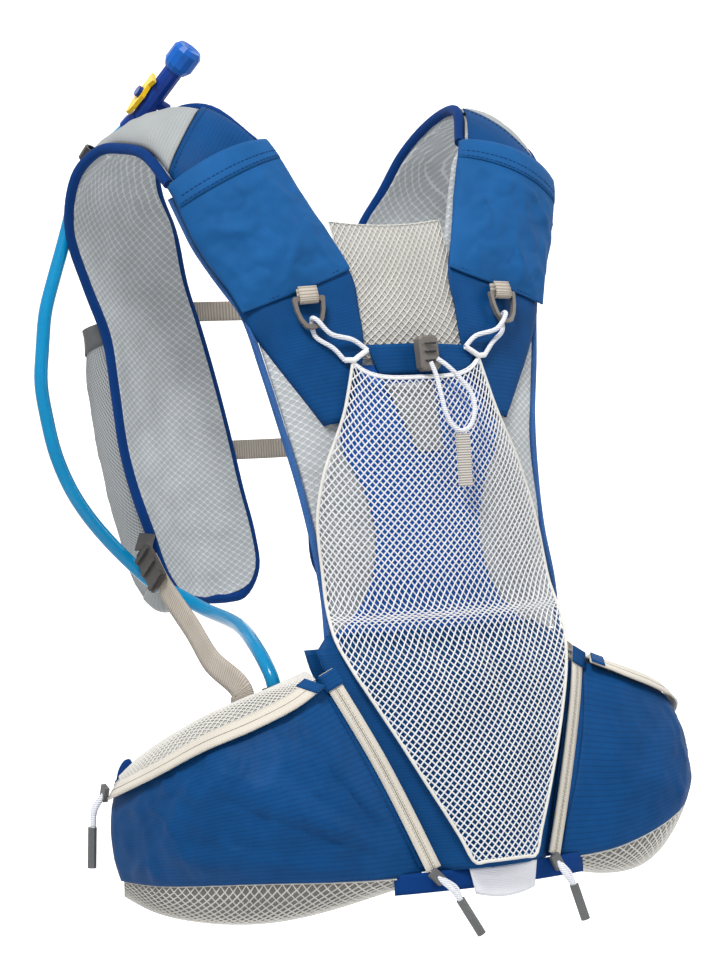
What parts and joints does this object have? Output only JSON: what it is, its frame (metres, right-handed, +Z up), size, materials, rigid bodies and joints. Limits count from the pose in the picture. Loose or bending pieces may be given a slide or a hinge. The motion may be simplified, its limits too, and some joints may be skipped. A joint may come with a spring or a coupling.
{
  "type": "running hydration vest",
  "caption": "Worn-form running vest with mesh back, net stretch pocket, lumbar pack, hip wings, front flask sleeves, chest straps and a drinking tube with bite valve.",
  "frame": {"origin": "between the wearer's shoulders, on the centre line at the height of the shoulder straps' crests", "axes": "+X to the wearer's right, +Y the way the wearer faces, +Z up"},
  "size_m": [0.3834, 0.3036, 0.5399],
  "materials": {
    "air_mesh": "padded air mesh",
    "beige_net": "fine knitted net",
    "blue_cloth": "ripstop",
    "cap_cloth": "plain cloth",
    "white_net": "open knitted net",
    "grey_plastic": "moulded",
    "white_cord": "braided elastic",
    "white_rubber": "ribbed",
    "reflective": "reflective film on cloth",
    "binding": "knitted edge tape",
    "webbing": "woven webbing",
    "zip": "coated zip tape",
    "pull_tube": "smooth tube on cord",
    "tube": "clear tinted tube",
    "dark_plastic": "moulded",
    "valve": "moulded",
    "mouthpiece": "smooth silicone",
    "lever": "moulded"
  },
  "bodies": {
    "vest": {"back_panel": "air_mesh", "upper_back_mesh": "beige_net", "centre_panel": "blue_cloth", "centre_tongue": "cap_cloth", "stretch_pocket": "white_net", "lumbar_pack": "blue_cloth", "cord_band": "blue_cloth", "cord_lock": "grey_plastic", "cord_loop": "white_cord", "pull_tab": "white_rubber", "reflective_tab": "reflective", "bottom_band": "binding", "chest_strap_upper": "webbing", "chest_strap_lower": "webbing", "front_panel_left": "air_mesh", "binding_left": "binding", "back_edge_left": "binding", "yoke_left": "blue_cloth", "shoulder_cap_left": "cap_cloth", "shoulder_pocket_left": "blue_cloth", "front_pocket_left": "white_net", "ring_tab_left": "webbing", "ring_left": "grey_plastic", "elastic_cord_left": "white_cord", "wing_front_left": "blue_cloth", "wing_back_left": "air_mesh", "wing_net_left": "beige_net", "bottle_net_left": "white_net", "wing_zip_left": "zip", "pack_zip_left": "zip", "side_strap_left": "webbing", "ladder_lock_left": "grey_plastic", "pack_zip_pull_left": "pull_tube", "wing_zip_pull_left": "pull_tube", "front_panel_right": "air_mesh", "binding_right": "binding", "back_edge_right": "binding", "yoke_right": "blue_cloth", "shoulder_cap_right": "cap_cloth", "shoulder_pocket_right": "blue_cloth", "front_pocket_right": "white_net", "ring_tab_right": "webbing", "ring_right": "grey_plastic", "elastic_cord_right": "white_cord", "wing_front_right": "blue_cloth", "wing_back_right": "air_mesh", "wing_net_right": "beige_net", "bottle_net_right": "white_net", "wing_zip_right": "zip", "pack_zip_right": "zip", "side_strap_right": "webbing", "ladder_lock_right": "grey_plastic", "pack_zip_pull_right": "pull_tube", "wing_zip_pull_right": "pull_tube", "drinking_tube": "tube", "tube_keeper": "dark_plastic", "tube_port": "dark_plastic", "bite_valve": "valve", "mouthpiece": "mouthpiece"},
    "lever": {"shutoff_lever": "lever"}
  },
  "joints": [
    {"name": "lever_hinge", "type": "hinge", "parent": "vest", "child": "lever", "pos_m": [-0.10973, 0.02771, 0.00615], "axis": [-0.8544, 0.0113, 0.5194], "range_deg": [0, 90]}
  ]
}
